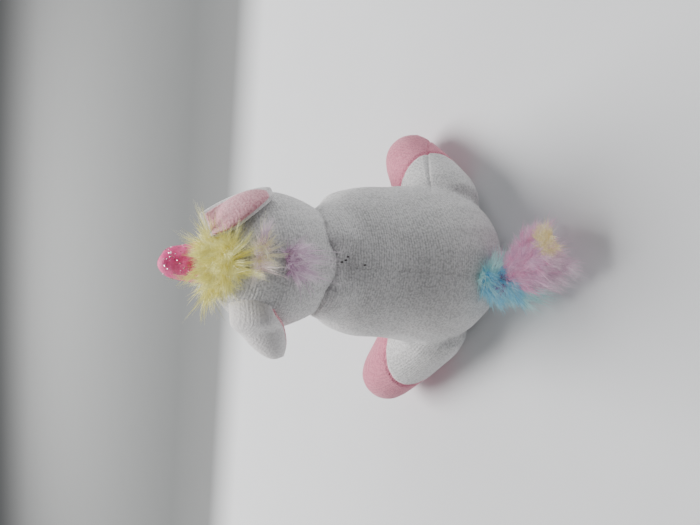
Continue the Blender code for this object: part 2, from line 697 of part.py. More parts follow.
tail = add_empty("tail_sway_pivot", joint_frame(TAIL_ROOT, TAIL_BEND - TAIL_ROOT, UP), unicorn)
bend = add_empty("tail_lift_pivot", joint_frame(TAIL_BEND, TAIL_END - TAIL_BEND, UP), unicorn)
base_length = (TAIL_BEND - TAIL_ROOT).length
end_length = (TAIL_END - TAIL_BEND).length
tail_room = swing_envelope(base_length, TAIL_ROOT_RADIUS, TAIL_BEND_RADIUS, "Y", TAIL_SWAY)
tail_room = add_cutter("tail_room", tail_room, tail)
bend_room = swing_envelope(end_length, TAIL_BEND_RADIUS, TAIL_BEND_RADIUS, "X", (-TAIL_LIFT[1], TAIL_LIFT[0]))
bend_room = add_cutter("tail_bend_room", bend_room, bend)
make_tail(unicorn, tail, bend, bend_room)

neck = add_empty("neck_pivot", Matrix.Translation(NECK_PIVOT), unicorn)
head_room = add_cutter("head_room", head_swing_envelope(), neck)
make_torso(unicorn, hip_rooms, arm_rooms, tail_room, head_room)
make_closing_thread(unicorn)
make_neck(neck)
horn = add_empty("horn_pivot", joint_frame(HORN_BASE - NECK_PIVOT, HORN_DIRECTION, UP), neck)
horn_room = swing_envelope(HORN_LENGTH, HORN_RADIUS, HORN_TIP_RADIUS, "X", HORN_FLEX)
horn_room = add_cutter("horn_room", horn_room, horn)
make_horn(horn)
FACE_WINDOW = make_face_window(neck)
covers, head_filling = make_head(neck, horn_room)
ear_room = add_cutter("ear_room", head_envelope(EAR_ROOM), neck)
for side, sign in SIDES.items():
    make_eye(side, sign, neck, covers[side], head_filling)
    cut(covers[side], horn_room)
    ear_root, ear_along, lining_side = EAR_PLACES[side]
    ear = add_empty(f"ear_{side}_pivot", joint_frame(ear_root - NECK_PIVOT, ear_along, -lining_side), neck)
    make_ear(side, ear, ear_room)
make_face_stitches(neck)
make_mane(neck, horn_room)
stand_on_origin(unicorn)
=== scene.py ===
"""Looks of the plush unicorn: stuffed velour skins, long-pile rainbow fur, ears and glitter horn."""

import json
import math
import random

import bmesh
import bpy
import numpy as np
from mathutils import Matrix, Vector, noise
from mathutils.bvhtree import BVHTree

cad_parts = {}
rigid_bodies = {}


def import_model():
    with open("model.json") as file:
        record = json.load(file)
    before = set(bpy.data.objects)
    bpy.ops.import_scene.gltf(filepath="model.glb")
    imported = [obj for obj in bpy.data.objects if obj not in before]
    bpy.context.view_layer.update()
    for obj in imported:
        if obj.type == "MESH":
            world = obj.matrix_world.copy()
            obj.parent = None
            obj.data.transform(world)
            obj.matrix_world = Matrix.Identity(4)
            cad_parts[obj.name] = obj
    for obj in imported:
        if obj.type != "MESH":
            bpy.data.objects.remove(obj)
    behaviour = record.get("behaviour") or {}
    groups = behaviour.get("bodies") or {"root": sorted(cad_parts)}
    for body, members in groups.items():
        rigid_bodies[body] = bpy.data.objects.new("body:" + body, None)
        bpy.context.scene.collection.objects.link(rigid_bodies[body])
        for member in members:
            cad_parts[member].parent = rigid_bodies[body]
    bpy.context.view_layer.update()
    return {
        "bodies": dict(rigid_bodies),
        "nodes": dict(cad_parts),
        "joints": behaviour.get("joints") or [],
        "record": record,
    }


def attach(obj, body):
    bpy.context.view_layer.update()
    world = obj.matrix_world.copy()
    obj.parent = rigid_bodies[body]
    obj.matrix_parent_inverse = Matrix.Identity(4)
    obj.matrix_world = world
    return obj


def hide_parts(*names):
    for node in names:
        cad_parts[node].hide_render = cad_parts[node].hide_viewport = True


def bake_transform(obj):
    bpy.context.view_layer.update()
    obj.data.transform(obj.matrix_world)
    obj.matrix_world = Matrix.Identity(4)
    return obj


MM = 0.001
SIDES = {"left": 1, "right": -1}

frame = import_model()
NODES = frame["nodes"]
JOINTS = {joint["name"]: joint for joint in frame["joints"]}

# The toy's own coordinates, in mm from the floor under its middle
NECK = (0, -8, 106)
SHIFT = Vector(JOINTS["neck_turn"]["pos_m"]) - Vector(NECK) * MM


def at(x, y, z):
    """A point of the frame, from the toy's own coordinates in mm."""
    return Vector((x, y, z)) * MM + SHIFT


# Camera
CAMERA_AZIMUTH = 187.5
CAMERA_ELEVATION = 37
CAMERA_DISTANCE = 0.285
CAMERA_LENS = 30.86
CAMERA_TARGET = at(0, 0, 75)

# Velour: texture scales per metre, heights of its relief
COURSE_SCALE = 300
PILE_SCALE = 1100
BRUSHED_SCALE = 60
RIB_HEIGHT = 0.35 * MM
RIB_STRENGTH = 0.7
PILE_HEIGHT = 0.5 * MM
PILE_STRENGTH = 0.7

# Colour of the nostrils' and mouth's thread
FACE_THREAD = (0.55, 0.22, 0.32)

# Skins: remesh voxel and smoothing passes
BODY_SKIN = (1.8 * MM, 6)
HEAD_SKIN = (1.5 * MM, 5)
NECK_SKIN = (1.5 * MM, 2)
ARM_SKIN = (1.2 * MM, 4)
HORN_SKIN = (0.8 * MM, 4)

# Swelling of the cloth between its seams
PUFF_PRESSURE = 4
PUFF_FRAMES = 20
BODY_PUFF = 1.4 * MM
HEAD_PUFF = 0.8 * MM
ARM_PUFF = 0.8 * MM
BODY_SEAM_REACH = 1.6 * MM
HEAD_SEAM_REACH = 1 * MM
FLOOR_CLEARANCE = 0.15 * MM

# Grooves along the seams: depth and half width
CENTRE_GROOVE = (0.55 * MM, 0.7 * MM)
HOOF_GROOVE = (0.8 * MM, 0.7 * MM)
THIGH_GROOVE = (0.9 * MM, 0.6 * MM)
COLLAR_GROOVE = (1.2 * MM, 0.6 * MM)
ARM_GROOVE = (0.9 * MM, 0.9 * MM)
STRIP_GROOVE = (0.45 * MM, 0.6 * MM)
MUZZLE_GROOVE = (0.5 * MM, 0.6 * MM)
NAPE_GROOVE = (0.3 * MM, 0.6 * MM)

# Rear legs; each hoof seam is a plane (point, normal towards the hoof)
HOOF_SEAM = {
    "left": (at(58.8, -7.4, 35.1), Vector((-0.1, -0.93, -0.35)).normalized()),
    "right": (at(-50.4, -6.0, 32.2), Vector((-0.05, -0.93, -0.36)).normalized()),
}
THIGH_SEAM = (at(-50, 3, 33), Vector((0.395, -0.769, 0.502)).normalized())
THIGH_SIDE = at(-36, 0, 0).x
LEG_PIVOT = {"left": at(35, 3, 23), "right": at(-32.5, 2, 22.5)}
LEG_END = {"left": at(67.5, -27, 20.5), "right": at(-53, -26, 17)}
LEG_FOOT_START = {"left": 6 * MM, "right": 8 * MM}
LEG_FOOT_REACH = 27 * MM
LEG_SEAM_SIDE = 28 * MM
LEG_PINNED_SIDE = 30 * MM

# Front legs
ARM_PIVOT = {side: at(sign * 22, -28, 64) for side, sign in SIDES.items()}
ARM_END = {side: at(sign * 25, -55, 34) for side, sign in SIDES.items()}
ARM_SEAM_REACH = 32 * MM
ARM_ROOT_REACH = 4 * MM

# Body and neck
CENTRE_SEAM_START = at(0, 6, 0).y
LOW_BACK = at(0, 10, 6)
NECK_CENTRE = at(*NECK)
NECK_SEAM = (at(0, 18, 102), Vector((0, -0.3, 1)).normalized())
HEAD_BALL = 27.1 * MM
COLLAR_BALL = 26.4 * MM
COLLAR_SLACK = 1 * MM
COLLAR_DEPTH = 9 * MM
COLLAR_PULL = 3.2 * MM
COLLAR_CREASE = HEAD_BALL + 0.4 * MM
PLUG_BALL = 27.9 * MM
PLUG_DROP = 1.5 * MM
BALL_SEGMENTS = 48
BALL_RINGS = 32

# Head
HEAD_OPENING = at(0, 0, 100).z
FACE_BACK = at(0, -26, 0).y
MUZZLE_SEAM = at(0, -38, 0).y
NAPE_START = at(0, -4, 0).y
STRIP_HALF_WIDTH = 10 * MM

# Ears; each place is its root, the direction of its length, and the side its lining faces
EAR_PLACES = {
    "left": (at(18, 5, 130.5), Vector((0.88, 0.14, -0.46)), Vector((0.1, -0.42, -0.9))),
    "right": (at(-15, -8, 141), Vector((-0.46, 0.38, -0.80)), Vector((-0.70, 0.32, 0.62))),
}
EAR_LENGTH = 28 * MM
EAR_HALF_WIDTH = 11.2 * MM
EAR_ROOT_TAPER = 0.24
EAR_TIP_TAPER = 0.98
EAR_BLUNTNESS = 0.6
EAR_CUP = 3.5 * MM
EAR_CUP_REST = 0.4
EAR_CURL = 4 * MM
EAR_SINK = 5 * MM
EAR_CLEARANCE = 0.6 * MM
EAR_THICKNESS = {"left": 6.5 * MM, "right": 3.6 * MM}
EAR_ROUNDING = 4
EAR_SEGMENTS = (14, 18)
EAR_MERGE = 0.01 * MM
LINING_THICKNESS = 2.4 * MM
LINING_LIFT = 0.36
LINING_SCALE = {"left": 0.95, "right": 0.86}
LINING_SHIFT = {"left": 0.0, "right": 1.5 * MM}
LINING_OUTSIDE = {"left": False, "right": True}

# Horn
HORN_PLUMP = 0.6 * MM
HORN_LUMPS = 0.5 * MM
HORN_LUMP_SCALE = 250
FLAKES = 900
FLAKE_SIZE = (0.16, 0.32)
FLAKE_TILT = 0.35
FLAKE_LIFT = 0.12 * MM
FLAKE_CORNERS = 6
FOILS = [(0.95, 0.35, 0.55), (0.98, 0.75, 0.85), (0.75, 0.85, 0.80), (0.95, 0.85, 0.55), (1, 1, 1)]

# Fur; pairs are the least and the most of a random draw
LOCK_STEPS = 7
LOCK_GATHER = 0.55
HAIR_REACH = (0.65, 1.0)
HAIR_SHADE = (0.86, 1.08)
HAIR_WIDTH = (0.7, 1.3)
HAIR_TAPER = 0.6
HAIR_TIP = 0.015 * MM
HAIR_TURN = 0.45
WAVE_TURNS = 4
PATCH_SPLAY = 0.5
LINE_DEPTH = (0.3, 1.0)
LINE_LOWEST = -0.3
MANE_HAIR = {"spread": 0.55 * MM, "stray": 1.1 * MM, "width": 0.26 * MM, "wiggle": (0.3, 1.8)}
TAIL_HAIR = {"spread": 0.6 * MM, "stray": 1.2 * MM, "width": 0.34 * MM, "wiggle": (0.2, 1.0)}
FUR_CLEARANCE = 0.35 * MM
PUSH_REACH = 12 * MM
DROP_HEIGHT = 20 * MM

# Closing of the back: place in mm, and the size of a hole or the lean of a stitch
# The needle holes are near-black beads: painted shade inside them.
NEEDLE_HOLES = (
    ((-2.5, 17.6, 92.8), 1.1), ((-5.0, 18.4, 90.4), 0.9), ((-3.4, 18.2, 91.2), 1.0), ((-1.9, 23, 84.2), 1.0))
HOLE_SHAPE = (0.45, 0.7, 0.22)
HOLE_DEPTH = 0.05 * MM
STITCHES = (
    ((-1.4, 18, 91.8), 0.9), ((-2.6, 20, 89), -0.8), ((-1.6, 21, 87), 0.7), ((-2.1, 41.5, 47.4), 0.3))
STITCH_SHAPE = (1.1, 0.26, 0.24)
STITCH_HEIGHT = 0.1 * MM


# --- materials -------------------------------------------------------------------------------

def new_material(name):
    """An empty Principled material with its shader and its object coordinates."""
    material = bpy.data.materials.new(name)
    material.use_nodes = True
    nodes = material.node_tree.nodes
    shader = nodes["Principled BSDF"]
    coords = nodes.new("ShaderNodeTexCoord")
    return material, nodes, material.node_tree.links, shader, coords.outputs["Object"]


def add_noise(nodes, links, coords, scale, detail=2.0):
    """A noise texture's output."""
    texture = nodes.new("ShaderNodeTexNoise")
    texture.inputs["Scale"].default_value = scale
    texture.inputs["Detail"].default_value = detail
    links.new(coords, texture.inputs["Vector"])
    return texture.outputs["Fac"]


def add_ramp(nodes, links, value, stops):
    """Turns a value into a colour; the first two stops are the ramp's own."""
    ramp = nodes.new("ShaderNodeValToRGB")
    elements = ramp.color_ramp.elements
    for index, (place, colour) in enumerate(stops):
        element = elements[index] if index < 2 else elements.new(place)
        element.position = place
        element.color = (*colour, 1)
    links.new(value, ramp.inputs["Fac"])
    return ramp.outputs["Color"]


def add_mix(nodes, links, factor, first, second, kind="MIX"):
    """Mixes two colours; each input is a socket or a constant."""
    mix = nodes.new("ShaderNodeMix")
    mix.data_type = "RGBA"
    mix.blend_type = kind
    for socket, value in ((mix.inputs[0], factor), (mix.inputs[6], first), (mix.inputs[7], second)):
        if isinstance(value, bpy.types.NodeSocket):
            links.new(value, socket)
        else:
            socket.default_value = value if isinstance(value, float) else (*value, 1)
    return mix.outputs[2]


def add_bump(nodes, links, height, distance, strength=1.0, below=None):
    """Surface relief from a height, on top of the relief below it."""
    bump = nodes.new("ShaderNodeBump")
    bump.inputs["Distance"].default_value = distance
    bump.inputs["Strength"].default_value = strength
    links.new(height, bump.inputs["Height"])
    if below:
        links.new(below, bump.inputs["Normal"])
    return bump.outputs["Normal"]


def velour(name, light, dark, speck=0.5, ribs=0.5):
    """Knitted velour: fine courses with painted shade in their valleys, a speckled short pile whose dark
    specks are painted shade in its low spots, and soft brushed patches.
    """
    material, nodes, links, shader, coords = new_material(name)
    courses = nodes.new("ShaderNodeTexWave")
    courses.bands_direction = "Z"
    courses.inputs["Scale"].default_value = COURSE_SCALE
    courses.inputs["Distortion"].default_value = 1.4
    courses.inputs["Detail"].default_value = 1.0
    courses.inputs["Detail Scale"].default_value = 1.6
    links.new(coords, courses.inputs["Vector"])
    pile = add_noise(nodes, links, coords, PILE_SCALE, 3.0)
    patches = add_noise(nodes, links, coords, BRUSHED_SCALE, 3.0)
    middle = tuple((a + b) / 2 for a, b in zip(light, dark))
    # Painted shade: the pile's dark specks lie where its bump is lowest, standing in for shade between its
    # fibres; the light end is the cloth's own colour.
    speckle_shade = add_ramp(nodes, links, pile, [(0.38, dark), (0.58, light), (0.48, middle)])
    brushed = add_ramp(nodes, links, patches, [(0.3, middle), (0.7, light)])
    colour = add_mix(nodes, links, speck, brushed, speckle_shade)
    # Painted shade: the colour darkens by up to a sixth in the valleys of the courses, where their bump is
    # low.
    course_valley_shade = add_ramp(nodes, links, courses.outputs["Fac"], [(0.1, (0.84, 0.84, 0.84)), (0.7, (1, 1, 1))])
    ribbed = add_mix(nodes, links, 1.0, colour, course_valley_shade, "MULTIPLY")
    links.new(add_mix(nodes, links, ribs, colour, ribbed), shader.inputs["Base Color"])
    rib_bump = add_bump(nodes, links, courses.outputs["Fac"], RIB_HEIGHT, RIB_STRENGTH * ribs)
    links.new(add_bump(nodes, links, pile, PILE_HEIGHT, PILE_STRENGTH, rib_bump), shader.inputs["Normal"])
    shader.inputs["Roughness"].default_value = 0.95
    shader.inputs["Specular IOR Level"].default_value = 0.15
    shader.inputs["Sheen Weight"].default_value = 0.35
    shader.inputs["Sheen Roughness"].default_value = 0.6
    return material


def fur(name):
    """Long acrylic pile: each strand carries its own colour, with darker and paler streaks, and a faint
    painted glow in that colour.
    """
    material, nodes, links, shader, coords = new_material(name)
    tint = nodes.new("ShaderNodeAttribute")
    tint.attribute_name = "strand_colour"
    streaks = add_ramp(nodes, links, add_noise(nodes, links, coords, 900), [
        (0.3, (0.82, 0.82, 0.82)), (0.7, (1.0, 1.0, 1.0))])
    colour = add_mix(nodes, links, 1.0, tint.outputs["Color"], streaks, "MULTIPLY")
    links.new(colour, shader.inputs["Base Color"])
    # Painted light: the strands glow faintly in their own colour, lightening the fur against the shade its
    # hairs cast on each other.
    links.new(colour, shader.inputs["Emission Color"])
    shader.inputs["Emission Strength"].default_value = 0.16
    shader.inputs["Roughness"].default_value = 0.6
    shader.inputs["Specular IOR Level"].default_value = 0.2
    shader.inputs["Sheen Weight"].default_value = 0.3
    return material


def glitter_cloth():
    """Hot pink foil-printed cloth, with cells of glitter in the print."""
    material, nodes, links, shader, coords = new_material("glitter_cloth")
    cells = nodes.new("ShaderNodeTexVoronoi")
    cells.inputs["Scale"].default_value = 1900
    links.new(coords, cells.inputs["Vector"])
    shades = add_ramp(nodes, links, cells.outputs["Distance"], [
        (0.0, (0.98, 0.22, 0.44)), (0.55, (0.88, 0.07, 0.29))])
    patches = add_ramp(nodes, links, add_noise(nodes, links, coords, 130), [
        (0.35, (0.88, 0.06, 0.28)), (0.65, (0.98, 0.22, 0.45))])
    links.new(add_mix(nodes, links, 0.5, shades, patches), shader.inputs["Base Color"])
    links.new(add_bump(nodes, links, cells.outputs["Distance"], 0.25 * MM, 0.6), shader.inputs["Normal"])
    shader.inputs["Roughness"].default_value = 0.5
    shader.inputs["Specular IOR Level"].default_value = 0.3
    return material


def flake_foil():
    """Glitter flakes, each with its own foil colour."""
    material, nodes, links, shader, coords = new_material("flake_foil")
    tint = nodes.new("ShaderNodeAttribute")
    tint.attribute_name = "strand_colour"
    scratches = add_ramp(nodes, links, add_noise(nodes, links, coords, 2500), [
        (0.3, (0.85, 0.85, 0.85)), (0.7, (1.0, 1.0, 1.0))])
    colour = add_mix(nodes, links, 1.0, tint.outputs["Color"], scratches, "MULTIPLY")
    links.new(colour, shader.inputs["Base Color"])
    shader.inputs["Metallic"].default_value = 0.8
    shader.inputs["Roughness"].default_value = 0.25
    return material


def eye_gloss():
    """Moulded black safety eye with fine wear in the polish."""
    material, nodes, links, shader, coords = new_material("eye_gloss")
    tone = add_ramp(nodes, links, add_noise(nodes, links, coords, 700), [
        (0.3, (0.010, 0.009, 0.010)), (0.7, (0.030, 0.026, 0.028))])
    links.new(tone, shader.inputs["Base Color"])
    shader.inputs["Roughness"].default_value = 0.12
    shader.inputs["Coat Weight"].default_value = 0.6
    shader.inputs["Coat Roughness"].default_value = 0.05
    return material


def washer_plastic():
    """Grainy moulded plastic of the washer behind each eye."""
    material, nodes, links, shader, coords = new_material("washer_plastic")
    grain = add_noise(nodes, links, coords, 2200)
    links.new(add_ramp(nodes, links, grain, [(0.3, (0.70, 0.70, 0.68)), (0.7, (0.80, 0.80, 0.78))]),
              shader.inputs["Base Color"])
    links.new(add_bump(nodes, links, grain, 0.1 * MM, 0.4), shader.inputs["Normal"])
    shader.inputs["Roughness"].default_value = 0.5
    return material


def thread(name, colour):
    """Twisted sewing thread, with painted shade in the grooves of its twist."""
    material, nodes, links, shader, coords = new_material(name)
    twist = nodes.new("ShaderNodeTexWave")
    twist.bands_direction = "DIAGONAL"
    twist.inputs["Scale"].default_value = 900
    links.new(coords, twist.inputs["Vector"])
    # Painted shade: the thread is 30% darker where the twist's bump is low, in the grooves of the twist.
    dark = tuple(0.7 * part for part in colour)
    links.new(add_ramp(nodes, links, twist.outputs["Fac"], [(0.2, dark), (0.8, colour)]),
              shader.inputs["Base Color"])
    links.new(add_bump(nodes, links, twist.outputs["Fac"], 0.1 * MM, 0.6), shader.inputs["Normal"])
    shader.inputs["Roughness"].default_value = 0.6
    return material


# --- meshes ----------------------------------------------------------------------------------

def new_piece(name, mesh, material):
    """An object in the scene that shows the mesh in one material."""
    piece = bpy.data.objects.new(name, mesh)
    bpy.context.scene.collection.objects.link(piece)
    mesh.materials.clear()
    mesh.materials.append(material)
    return piece


def form_piece(name, form, material, smooth=True):
    """A piece made from an edit mesh, which is used up."""
    mesh = bpy.data.meshes.new(name)
    form.to_mesh(mesh)
    form.free()
    mesh.polygons.foreach_set("use_smooth", [smooth] * len(mesh.polygons))
    return new_piece(name, mesh, material)


def apply_modifiers(piece):
    """Replaces the piece's mesh by what its modifiers make of it."""
    graph = bpy.context.evaluated_depsgraph_get()
    made = bpy.data.meshes.new_from_object(piece.evaluated_get(graph))
    old = piece.data
    piece.modifiers.clear()
    piece.data = made
    bpy.data.meshes.remove(old)
    made.polygons.foreach_set("use_smooth", [True] * len(made.polygons))


def node_names(*starts):
    return [name for name in NODES if name.startswith(starts)]


def keep_outer_skin(piece):
    """Keeps the largest connected surface, and drops the walls of pockets inside."""
    form = bmesh.new()
    form.from_mesh(piece.data)
    left = set(form.verts)
    largest = []
    while left:
        island = [left.pop()]
        for vert in island:
            for edge in vert.link_edges:
                other = edge.other_vert(vert)
                if other in left:
                    left.remove(other)
                    island.append(other)
        if len(island) > len(largest):
            largest = island
    kept = set(largest)
    bmesh.ops.delete(form, geom=[vert for vert in form.verts if vert not in kept], context="VERTS")
    form.to_mesh(piece.data)
    form.free()


def skin(name, nodes, recipe, material, form=None):
    """One closed skin around CAD solids: voxel remesh of their union, then smoothed."""
    voxel, smoothing = recipe
    form = form or bmesh.new()
    for node in nodes:
        form.from_mesh(NODES[node].data)
    piece = form_piece(name, form, material)
    remesh = piece.modifiers.new("remesh", "REMESH")
    remesh.mode = "VOXEL"
    remesh.voxel_size = voxel
    smooth = piece.modifiers.new("smooth", "SMOOTH")
    smooth.factor = 0.5
    smooth.iterations = smoothing
    apply_modifiers(piece)
    keep_outer_skin(piece)
    return piece


def points_of(piece):
    """The piece's vertices, one row each."""
    found = np.empty(len(piece.data.vertices) * 3)
    piece.data.vertices.foreach_get("co", found)
    return found.reshape(-1, 3)


def set_points(piece, points):
    piece.data.vertices.foreach_set("co", points.reshape(-1))
    piece.data.update()


def normals_of(piece):
    """The normals at the piece's vertices, one row each."""
    found = np.empty(len(piece.data.vertices) * 3)
    piece.data.vertices.foreach_get("normal", found)
    return found.reshape(-1, 3)


def puff(piece, pinned, cap):
    """Swells the cloth between its seams by simulation; no point moves further than the cap."""
    start = points_of(piece)
    group = piece.vertex_groups.new(name="seams")
    group.add([int(index) for index in np.flatnonzero(pinned)], 1.0, "REPLACE")
    cloth = piece.modifiers.new("cloth", "CLOTH")
    cloth.settings.vertex_group_mass = group.name
    cloth.settings.use_pressure = True
    cloth.settings.uniform_pressure_force = PUFF_PRESSURE
    cloth.settings.effector_weights.gravity = 0
    scene = bpy.context.scene
    for number in range(1, PUFF_FRAMES + 1):
        scene.frame_set(number)
    apply_modifiers(piece)
    scene.frame_set(1)
    moved = points_of(piece) - start
    length = np.linalg.norm(moved, axis=1)[:, None]
    set_points(piece, start + moved * np.minimum(1, cap / np.maximum(length, 1e-9)))
    piece.vertex_groups.clear()


def subdivide(piece, levels=1):
    surface = piece.modifiers.new("surface", "SUBSURF")
    surface.levels = levels
    surface.render_levels = levels
    apply_modifiers(piece)


def plane_distance(points, plane):
    """How far each point lies beyond the plane."""
    point, normal = plane
    return (points - np.array(point)) @ np.array(normal)


def groove(piece, distance, profile, where=1.0):
    """Sinks the surface where its distance from a seam is small, inside the mask."""
    depth, width = profile
    sink = depth * np.exp(-((distance / width) ** 2)) * where
    set_points(piece, points_of(piece) - normals_of(piece) * sink[:, None])


def cut_off(piece, plane):
    """Removes what lies beyond the plane, leaving the edge open."""
    form = bmesh.new()
    form.from_mesh(piece.data)
    point, normal = plane
    everything = form.verts[:] + form.edges[:] + form.faces[:]
    bmesh.ops.bisect_plane(form, geom=everything, plane_co=point, plane_no=normal, clear_outer=True)
    form.to_mesh(piece.data)
    form.free()


def copy_of(piece, name, material=None):
    return new_piece(name, piece.data.copy(), material or piece.data.materials[0])


# --- stuffed pieces --------------------------------------------------------------------------

def neck_ball(radius):
    """A ball around the point that the head turns on."""
    form = bmesh.new()
    place = Matrix.Translation(NECK_CENTRE)
    bmesh.ops.create_uvsphere(
        form, u_segments=BALL_SEGMENTS, v_segments=BALL_RINGS, radius=radius, matrix=place)
    return form


def neck_plug():
    """A ball that closes the collar, cut off just below the neck seam, where the head hides it."""
    form = neck_ball(PLUG_BALL)
    point, normal = NECK_SEAM
    everything = form.verts[:] + form.edges[:] + form.faces[:]
    cut = bmesh.ops.bisect_plane(
        form, geom=everything, plane_co=point - normal * PLUG_DROP, plane_no=normal, clear_outer=True)
    rim = [item for item in cut["geom_cut"] if isinstance(item, bmesh.types.BMEdge)]
    bmesh.ops.triangle_fill(form, edges=rim, use_beauty=True, normal=normal)
    return form


def snug_collar(points):
    """Draws the cloth below the neck seam in to the ball of the head; also says which cloth it is."""
    offset = points - np.array(NECK_CENTRE)
    distance = np.linalg.norm(offset, axis=1)
    height = plane_distance(points, NECK_SEAM)
    pull = np.clip(1 + height / COLLAR_DEPTH, 0, 1)
    pull = pull * pull * (3 - 2 * pull) * COLLAR_PULL
    shorter = np.where(distance > COLLAR_BALL, np.maximum(distance - pull, COLLAR_BALL), distance)
    collar = (height > -PLUG_DROP) & (distance > COLLAR_BALL - COLLAR_SLACK)
    return np.array(NECK_CENTRE) + offset * (shorter / distance)[:, None], collar


def puff_body(body, collar):
    """Swells the body, held at the collar, the back seam and the hoof seams."""
    points = points_of(body)
    centre_seam = np.abs(points[:, 0] - SHIFT.x)
    behind = points[:, 1] > CENTRE_SEAM_START
    pinned = collar | ((centre_seam < BODY_SEAM_REACH) & behind)
    for side, sign in SIDES.items():
        own = (points[:, 0] - SHIFT.x) * sign > LEG_PINNED_SIDE
        pinned |= (np.abs(plane_distance(points, HOOF_SEAM[side])) < BODY_SEAM_REACH) & own
    puff(body, pinned, BODY_PUFF)


def crease_body(body):
    """Sinks the seams of the back, the hooves, the collar and the right thigh."""
    points = points_of(body)
    low_back = (points[:, 1] > LOW_BACK.y) & (points[:, 2] > LOW_BACK.z)
    groove(body, points[:, 0] - SHIFT.x, CENTRE_GROOVE, low_back)
    for side, sign in SIDES.items():
        own = (points[:, 0] - SHIFT.x) * sign > LEG_SEAM_SIDE
        groove(body, plane_distance(points, HOOF_SEAM[side]), HOOF_GROOVE, own)
    reach = np.linalg.norm(points_of(body) - np.array(NECK_CENTRE), axis=1)
    groove(body, reach - COLLAR_CREASE, COLLAR_GROOVE)
    points = points_of(body)
    groove(body, plane_distance(points, THIGH_SEAM), THIGH_GROOVE, points[:, 0] < THIGH_SIDE)


def make_body(material, hoof_material):
    """Torso and legs as one skin, cut at the centre seam and at the hooves."""
    nodes = node_names("back_panel", "belly_panel", "seat_panel", "torso_stuffing", "seat_pellet")
    body = skin("body", nodes + node_names("leg_"), BODY_SKIN, material, neck_plug())
    points, collar = snug_collar(points_of(body))
    set_points(body, points)
    puff_body(body, collar)
    subdivide(body)
    points = points_of(body)
    points[:, 2] = np.maximum(points[:, 2], FLOOR_CLEARANCE)
    set_points(body, points)
    crease_body(body)
    for side, sign in SIDES.items():
        half = copy_of(body, f"body_{side}")
        cut_off(half, (Vector((SHIFT.x, 0, 0)), Vector((-sign, 0, 0))))
        hoof = copy_of(half, f"hoof_{side}", hoof_material)
        split_hoof(side, half, hoof)
        finish_leg(side, half, hoof)
    bpy.data.objects.remove(body)


def foot_mask(points, side):
    """Points near the leg's own axis, which leaves the belly out."""
    start = np.array(LEG_PIVOT[side])
    along = np.array((LEG_END[side] - LEG_PIVOT[side]).normalized())
    offset = points - start
    reach = offset @ along
    radial = np.linalg.norm(offset - reach[:, None] * along, axis=1)
    return (reach > LEG_FOOT_START[side]) & (radial < LEG_FOOT_REACH)


def split_hoof(side, half, hoof):
    """Shares the faces of one half between the velour skin and the hoof cap."""
    seam = HOOF_SEAM[side]
    for piece, keep_hoof in ((half, False), (hoof, True)):
        form = bmesh.new()
        form.from_mesh(piece.data)
        everything = form.verts[:] + form.edges[:] + form.faces[:]
        bmesh.ops.bisect_plane(form, geom=everything, plane_co=seam[0], plane_no=seam[1])
        centres = np.array([face.calc_center_median() for face in form.faces])
        in_hoof = (plane_distance(centres, seam) > 0) & foot_mask(centres, side)
        doomed = [face for face, inside in zip(form.faces, in_hoof) if inside != keep_hoof]
        bmesh.ops.delete(form, geom=doomed, context="FACES")
        form.to_mesh(piece.data)
        form.free()


def finish_leg(side, half, hoof):
    """Bakes the leg's skin and hoof in place, and hides the CAD parts that they cover."""
    for piece in (half, hoof):
        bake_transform(piece)
    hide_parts(f"back_panel_{side}", *node_names(f"leg_{side}_cover", f"leg_{side}_stuffing"))
    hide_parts(f"leg_{side}_hoof")
    if side == "left":
        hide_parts("belly_panel", "seat_panel", "torso_stuffing", "seat_pellet_bag")


def make_arm(side, material, hoof_material):
    """A stuffed arm, held at its root and its hoof seam while it swells, with its hoof cap."""
    along = (ARM_END[side] - ARM_PIVOT[side]).normalized()
    seam = (ARM_PIVOT[side] + along * ARM_SEAM_REACH, along)
    arm = skin(f"arm_{side}", node_names(f"arm_{side}_"), ARM_SKIN, material)
    distance = plane_distance(points_of(arm), seam)
    root = plane_distance(points_of(arm), (ARM_PIVOT[side], along)) < ARM_ROOT_REACH
    puff(arm, (np.abs(distance) < BODY_SEAM_REACH) | root, ARM_PUFF)
    subdivide(arm)
    groove(arm, plane_distance(points_of(arm), seam), ARM_GROOVE)
    hoof = copy_of(arm, f"arm_hoof_{side}", hoof_material)
    cut_off(arm, seam)
    cut_off(hoof, (seam[0], -along))
    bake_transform(arm)
    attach(hoof, f"arm_{side}")
    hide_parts(*node_names(f"arm_{side}_cover", f"arm_{side}_stuffing"))
    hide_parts(f"arm_{side}_hoof")


def make_head(material):
    """The head's skin, with the seams of its face strip and muzzle."""
    nodes = node_names("head_panel", "forehead", "chin", "muzzle_cover", "head_stuffing")
    head = skin("head", nodes, HEAD_SKIN, material, neck_ball(HEAD_BALL))
    points = points_of(head)
    below = points[:, 2] < HEAD_OPENING
    strip = np.abs(np.abs(points[:, 0] - SHIFT.x) - STRIP_HALF_WIDTH)
    face = points[:, 1] < FACE_BACK
    muzzle = np.abs(points[:, 1] - MUZZLE_SEAM)
    puff(head, below | (face & (strip < HEAD_SEAM_REACH)) | (muzzle < HEAD_SEAM_REACH), HEAD_PUFF)
    subdivide(head)
    points = points_of(head)
    between = (points[:, 1] < FACE_BACK) & (points[:, 1] > MUZZLE_SEAM)
    groove(head, np.abs(points[:, 0] - SHIFT.x) - STRIP_HALF_WIDTH, STRIP_GROOVE, between)
    groove(head, points[:, 1] - MUZZLE_SEAM, MUZZLE_GROOVE)
    groove(head, points_of(head)[:, 0] - SHIFT.x, NAPE_GROOVE, points[:, 1] > NAPE_START)
    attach(head, "head")
    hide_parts(*nodes, "mane_backing")
    return head


def make_neck(material):
    """The column of wadding inside the collar."""
    neck = skin("neck_wadding", ["neck_stuffing"], NECK_SKIN, material)
    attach(neck, "neck")
    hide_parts("neck_stuffing")


